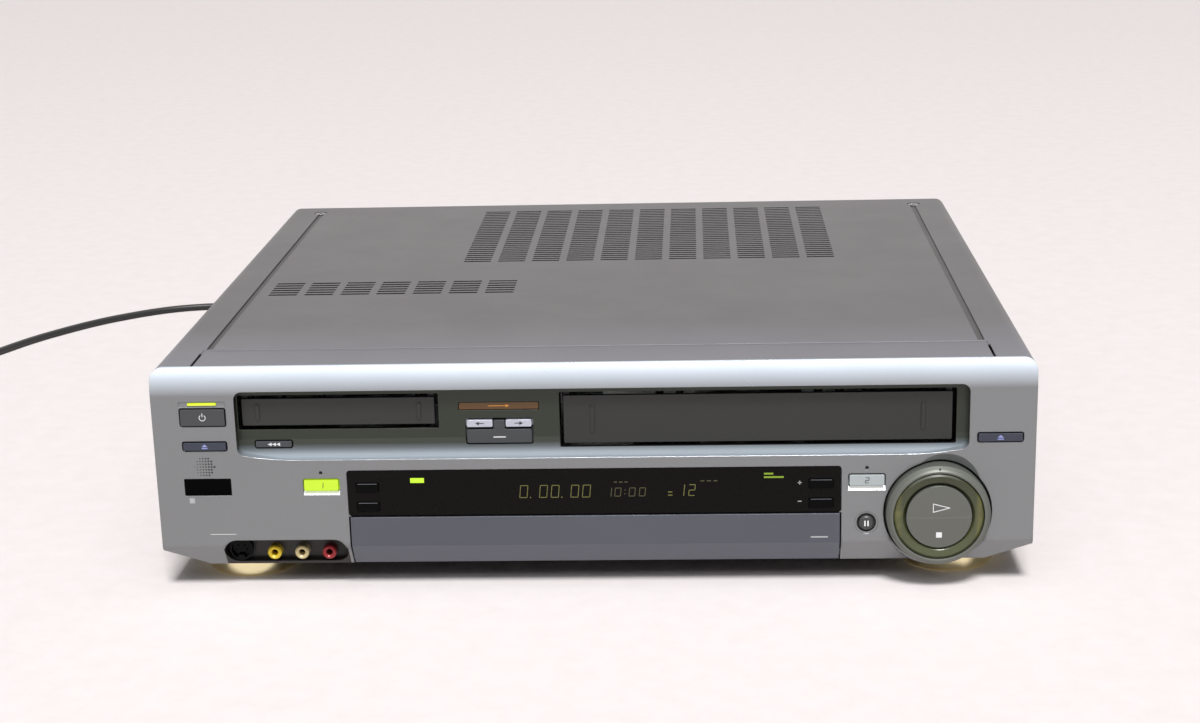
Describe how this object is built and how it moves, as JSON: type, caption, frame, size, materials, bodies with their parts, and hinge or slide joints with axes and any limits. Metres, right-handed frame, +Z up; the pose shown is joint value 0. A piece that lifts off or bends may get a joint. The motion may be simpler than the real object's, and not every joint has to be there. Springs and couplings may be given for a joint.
{
  "type": "vhs video cassette recorder",
  "caption": "Wide low double-deck video recorder: two cassette doors in one long pocket, display over a fold-down flap, jog dial at the right, front sockets and a coiled mains cord.",
  "frame": {"origin": "centre of the recorder's footprint on the table, measured without the mains cord", "axes": "+X to the right seen from the front, +Y from the front to the rear, +Z up"},
  "size_m": [0.7663, 0.5803, 0.116],
  "materials": {
    "top_cover": "satin warm grey",
    "cover_screws": "satin dark grey",
    "front_fascia": "satin silver-grey",
    "chassis_tray": "zinc plated",
    "rear_panel": "zinc plated",
    "front_feet": "satin gold",
    "rear_feet": "matt black",
    "display_window": "glossy near black",
    "display_tube": "dark glass",
    "remote_window": "glossy near black",
    "power_lamp": "lit yellow-green",
    "amber_lens": "translucent amber",
    "jack_plate": "matt black",
    "front_jacks": "plated with coloured rings",
    "s_video_socket": "matt black",
    "rear_jacks": "matt black",
    "antenna_connectors": "plated",
    "front_board": "green circuit board",
    "main_board": "green circuit board",
    "power_supply": "brown circuit board",
    "light_ring": "translucent olive",
    "dial_hub": "grey",
    "large_deck_chassis": "zinc plated",
    "small_deck_chassis": "zinc plated",
    "cord_relief": "matt black",
    "cord_run": "satin black",
    "cord_coil": "satin black",
    "plug": "satin black with brass pins",
    "large_door": "satin dark grey",
    "small_door": "satin dark grey",
    "control_flap": "satin blue-grey",
    "power_button": "satin dark grey",
    "eject_button_left": "slate blue",
    "eject_button_right": "slate blue",
    "deck_button_left": "lit yellow-green",
    "deck_button_right": "pale grey",
    "rewind_button": "satin dark grey",
    "dub_button": "satin dark grey",
    "dub_arrow_left": "light silver",
    "dub_arrow_right": "light silver",
    "pause_button": "satin dark grey",
    "menu_key_upper": "satin dark grey",
    "menu_key_lower": "satin dark grey",
    "channel_up_key": "satin dark grey",
    "channel_down_key": "satin dark grey",
    "flap_key_left": "satin dark grey",
    "flap_key_middle": "satin dark grey",
    "flap_key_right": "satin dark grey",
    "shuttle_ring": "satin silver",
    "play_stop_cap": "satin mid grey",
    "large_cradle": "zinc plated",
    "small_cradle": "zinc plated",
    "large_head_drum": "turned",
    "small_head_drum": "turned",
    "large_capstan_wheel": "turned",
    "small_capstan_wheel": "turned",
    "large_supply_reel": "pale",
    "large_takeup_reel": "pale",
    "small_supply_reel": "pale",
    "small_takeup_reel": "pale"
  },
  "bodies": {
    "case": {"top_cover": "top_cover", "cover_screws": "cover_screws", "front_fascia": "front_fascia", "chassis_tray": "chassis_tray", "rear_panel": "rear_panel", "front_feet": "front_feet", "rear_feet": "rear_feet", "display_window": "display_window", "display_tube": "display_tube", "remote_window": "remote_window", "power_lamp": "power_lamp", "amber_lens": "amber_lens", "jack_plate": "jack_plate", "front_jacks": "front_jacks", "s_video_socket": "s_video_socket", "rear_jacks": "rear_jacks", "antenna_connectors": "antenna_connectors", "front_board": "front_board", "main_board": "main_board", "power_supply": "power_supply", "light_ring": "light_ring", "dial_hub": "dial_hub", "large_deck_chassis": "large_deck_chassis", "small_deck_chassis": "small_deck_chassis", "cord_relief": "cord_relief", "cord_run": "cord_run", "cord_coil": "cord_coil", "plug": "plug"},
    "large_door": {"large_door": "large_door"},
    "small_door": {"small_door": "small_door"},
    "control_flap": {"control_flap": "control_flap"},
    "power_button": {"power_button": "power_button"},
    "eject_button_left": {"eject_button_left": "eject_button_left"},
    "eject_button_right": {"eject_button_right": "eject_button_right"},
    "deck_button_left": {"deck_button_left": "deck_button_left"},
    "deck_button_right": {"deck_button_right": "deck_button_right"},
    "rewind_button": {"rewind_button": "rewind_button"},
    "dub_button": {"dub_button": "dub_button"},
    "dub_arrow_left": {"dub_arrow_left": "dub_arrow_left"},
    "dub_arrow_right": {"dub_arrow_right": "dub_arrow_right"},
    "pause_button": {"pause_button": "pause_button"},
    "menu_key_upper": {"menu_key_upper": "menu_key_upper"},
    "menu_key_lower": {"menu_key_lower": "menu_key_lower"},
    "channel_up_key": {"channel_up_key": "channel_up_key"},
    "channel_down_key": {"channel_down_key": "channel_down_key"},
    "flap_key_left": {"flap_key_left": "flap_key_left"},
    "flap_key_middle": {"flap_key_middle": "flap_key_middle"},
    "flap_key_right": {"flap_key_right": "flap_key_right"},
    "shuttle_ring": {"shuttle_ring": "shuttle_ring"},
    "play_stop_cap": {"play_stop_cap": "play_stop_cap"},
    "large_cradle": {"large_cradle": "large_cradle"},
    "small_cradle": {"small_cradle": "small_cradle"},
    "large_head_drum": {"large_head_drum": "large_head_drum"},
    "small_head_drum": {"small_head_drum": "small_head_drum"},
    "large_capstan_wheel": {"large_capstan_wheel": "large_capstan_wheel"},
    "small_capstan_wheel": {"small_capstan_wheel": "small_capstan_wheel"},
    "large_supply_reel": {"large_supply_reel": "large_supply_reel"},
    "large_takeup_reel": {"large_takeup_reel": "large_takeup_reel"},
    "small_supply_reel": {"small_supply_reel": "small_supply_reel"},
    "small_takeup_reel": {"small_takeup_reel": "small_takeup_reel"}
  },
  "joints": [
    {"name": "large_door_hinge", "type": "hinge", "parent": "case", "child": "large_door", "pos_m": [0.081, -0.1802, 0.1038], "axis": [1, 0, 0], "range_deg": [0, 88], "stiffness_Nm_per_rad": 0.005, "springref_deg": -11.46},
    {"name": "small_door_hinge", "type": "hinge", "parent": "case", "child": "small_door", "pos_m": [-0.1241, -0.1802, 0.1038], "axis": [1, 0, 0], "range_deg": [0, 88], "stiffness_Nm_per_rad": 0.003, "springref_deg": -8.59},
    {"name": "flap_hinge", "type": "hinge", "parent": "case", "child": "control_flap", "pos_m": [0.0005, -0.1815, 0.0158], "axis": [1, 0, 0], "range_deg": [0, 90]},
    {"name": "power_button_press", "type": "slide", "parent": "case", "child": "power_button", "axis": [0, 1, 0], "range_m": [0, 0.001], "stiffness_N_per_m": 400, "springref_m": -0.001},
    {"name": "eject_button_left_press", "type": "slide", "parent": "case", "child": "eject_button_left", "axis": [0, 1, 0], "range_m": [0, 0.001], "stiffness_N_per_m": 400, "springref_m": -0.001},
    {"name": "eject_button_right_press", "type": "slide", "parent": "case", "child": "eject_button_right", "axis": [0, 1, 0], "range_m": [0, 0.001], "stiffness_N_per_m": 400, "springref_m": -0.001},
    {"name": "deck_button_left_press", "type": "slide", "parent": "case", "child": "deck_button_left", "axis": [0, 1, 0], "range_m": [0, 0.001], "stiffness_N_per_m": 400, "springref_m": -0.001},
    {"name": "deck_button_right_press", "type": "slide", "parent": "case", "child": "deck_button_right", "axis": [0, 1, 0], "range_m": [0, 0.001], "stiffness_N_per_m": 400, "springref_m": -0.001},
    {"name": "rewind_button_press", "type": "slide", "parent": "case", "child": "rewind_button", "axis": [0, 1, 0], "range_m": [0, 0.001], "stiffness_N_per_m": 400, "springref_m": -0.001},
    {"name": "dub_button_press", "type": "slide", "parent": "case", "child": "dub_button", "axis": [0, 1, 0], "range_m": [0, 0.001], "stiffness_N_per_m": 400, "springref_m": -0.001},
    {"name": "dub_arrow_left_press", "type": "slide", "parent": "case", "child": "dub_arrow_left", "axis": [0, 1, 0], "range_m": [0, 0.001], "stiffness_N_per_m": 400, "springref_m": -0.001},
    {"name": "dub_arrow_right_press", "type": "slide", "parent": "case", "child": "dub_arrow_right", "axis": [0, 1, 0], "range_m": [0, 0.001], "stiffness_N_per_m": 400, "springref_m": -0.001},
    {"name": "pause_button_press", "type": "slide", "parent": "case", "child": "pause_button", "axis": [0, 1, 0], "range_m": [0, 0.001], "stiffness_N_per_m": 400, "springref_m": -0.001},
    {"name": "menu_key_upper_press", "type": "slide", "parent": "case", "child": "menu_key_upper", "axis": [0, 1, 0], "range_m": [0, 0.001], "stiffness_N_per_m": 400, "springref_m": -0.001},
    {"name": "menu_key_lower_press", "type": "slide", "parent": "case", "child": "menu_key_lower", "axis": [0, 1, 0], "range_m": [0, 0.001], "stiffness_N_per_m": 400, "springref_m": -0.001},
    {"name": "channel_up_key_press", "type": "slide", "parent": "case", "child": "channel_up_key", "axis": [0, 1, 0], "range_m": [0, 0.001], "stiffness_N_per_m": 400, "springref_m": -0.001},
    {"name": "channel_down_key_press", "type": "slide", "parent": "case", "child": "channel_down_key", "axis": [0, 1, 0], "range_m": [0, 0.001], "stiffness_N_per_m": 400, "springref_m": -0.001},
    {"name": "flap_key_left_press", "type": "slide", "parent": "case", "child": "flap_key_left", "axis": [0, 1, 0], "range_m": [0, 0.001], "stiffness_N_per_m": 400, "springref_m": -0.001},
    {"name": "flap_key_middle_press", "type": "slide", "parent": "case", "child": "flap_key_middle", "axis": [0, 1, 0], "range_m": [0, 0.001], "stiffness_N_per_m": 400, "springref_m": -0.001},
    {"name": "flap_key_right_press", "type": "slide", "parent": "case", "child": "flap_key_right", "axis": [0, 1, 0], "range_m": [0, 0.001], "stiffness_N_per_m": 400, "springref_m": -0.001},
    {"name": "shuttle_turn", "type": "hinge", "parent": "case", "child": "shuttle_ring", "pos_m": [0.1684, -0.196, 0.0392], "axis": [0, 1, 0], "range_deg": [-60, 60], "stiffness_Nm_per_rad": 0.02},
    {"name": "play_stop_rock", "type": "hinge", "parent": "case", "child": "play_stop_cap", "pos_m": [0.1684, -0.193, 0.0392], "axis": [1, 0, 0], "range_deg": [-3, 3], "stiffness_Nm_per_rad": 0.1},
    {"name": "large_cradle_lower", "type": "slide", "parent": "case", "child": "large_cradle", "axis": [0, 0, -1], "range_m": [0, 0.024]},
    {"name": "small_cradle_lower", "type": "slide", "parent": "case", "child": "small_cradle", "axis": [0, 0, -1], "range_m": [0, 0.017]},
    {"name": "large_drum_spin", "type": "hinge", "parent": "case", "child": "large_head_drum", "pos_m": [0.081, -0.0055, 0.045], "axis": [0, 0.1028, 0.9947], "continuous": true},
    {"name": "small_drum_spin", "type": "hinge", "parent": "case", "child": "small_head_drum", "pos_m": [-0.1241, -0.059, 0.062], "axis": [0, 0.1028, 0.9947], "continuous": true},
    {"name": "large_capstan_spin", "type": "hinge", "parent": "case", "child": "large_capstan_wheel", "pos_m": [0.147, -0.0325, 0.045], "axis": [0, 0, 1], "continuous": true},
    {"name": "small_capstan_spin", "type": "hinge", "parent": "case", "child": "small_capstan_wheel", "pos_m": [-0.0861, -0.076, 0.062], "axis": [0, 0, 1], "continuous": true},
    {"name": "large_supply_spin", "type": "hinge", "parent": "case", "child": "large_supply_reel", "pos_m": [0.035, -0.0905, 0.045], "axis": [0, 0, 1], "continuous": true},
    {"name": "large_takeup_spin", "type": "hinge", "parent": "case", "child": "large_takeup_reel", "pos_m": [0.127, -0.0905, 0.045], "axis": [0, 0, 1], "continuous": true},
    {"name": "small_supply_spin", "type": "hinge", "parent": "case", "child": "small_supply_reel", "pos_m": [-0.1477, -0.1185, 0.062], "axis": [0, 0, 1], "continuous": true},
    {"name": "small_takeup_spin", "type": "hinge", "parent": "case", "child": "small_takeup_reel", "pos_m": [-0.1005, -0.1185, 0.062], "axis": [0, 0, 1], "continuous": true}
  ]
}
